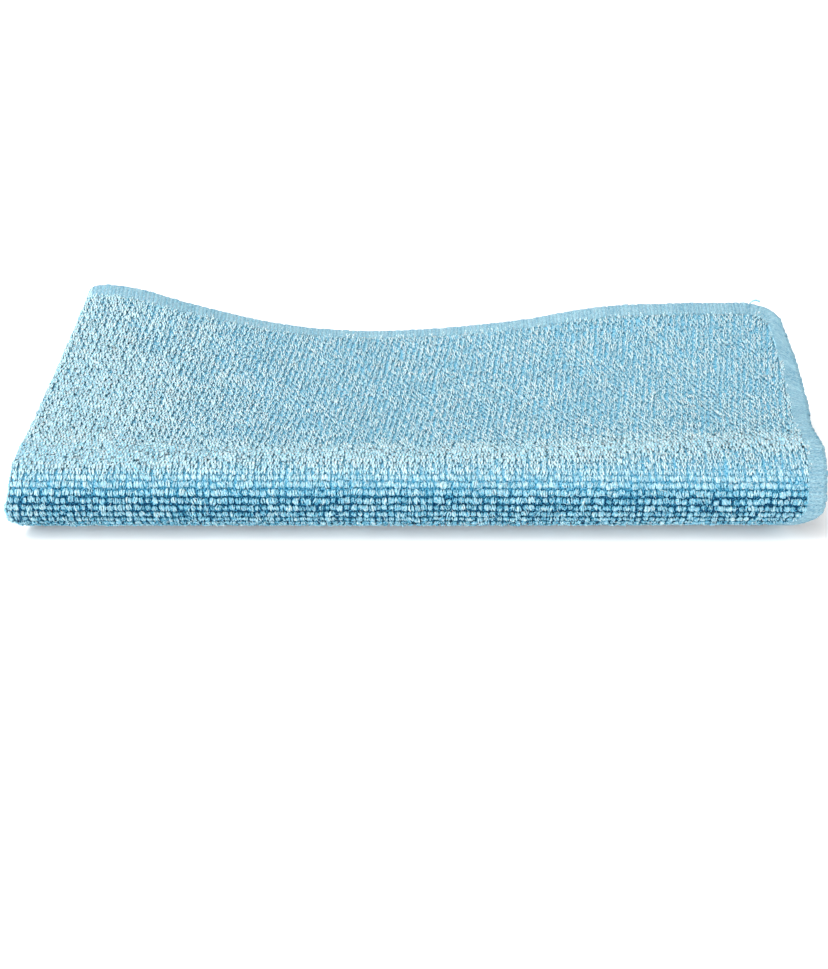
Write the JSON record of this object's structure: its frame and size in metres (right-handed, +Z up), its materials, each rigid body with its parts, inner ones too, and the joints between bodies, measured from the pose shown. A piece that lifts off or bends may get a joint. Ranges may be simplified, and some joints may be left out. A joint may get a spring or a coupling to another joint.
{
  "type": "folded microfibre cloth",
  "caption": "Terry cleaning cloth folded in half and then back and forth into a soft oblong pad, with a round front fold and overlocked edges.",
  "frame": {"origin": "centre of the bounding box at the underside, where the cloth rests", "axes": "+X along the front fold, from the left fold to the open hemmed side; +Y from the front fold to the hemmed back edge; +Z up"},
  "size_m": [0.208, 0.0788, 0.0335],
  "materials": {
    "terry": "light blue looped microfibre pile, matt"
  },
  "bodies": {
    "root": {"cloth": "terry"}
  },
  "joints": []
}
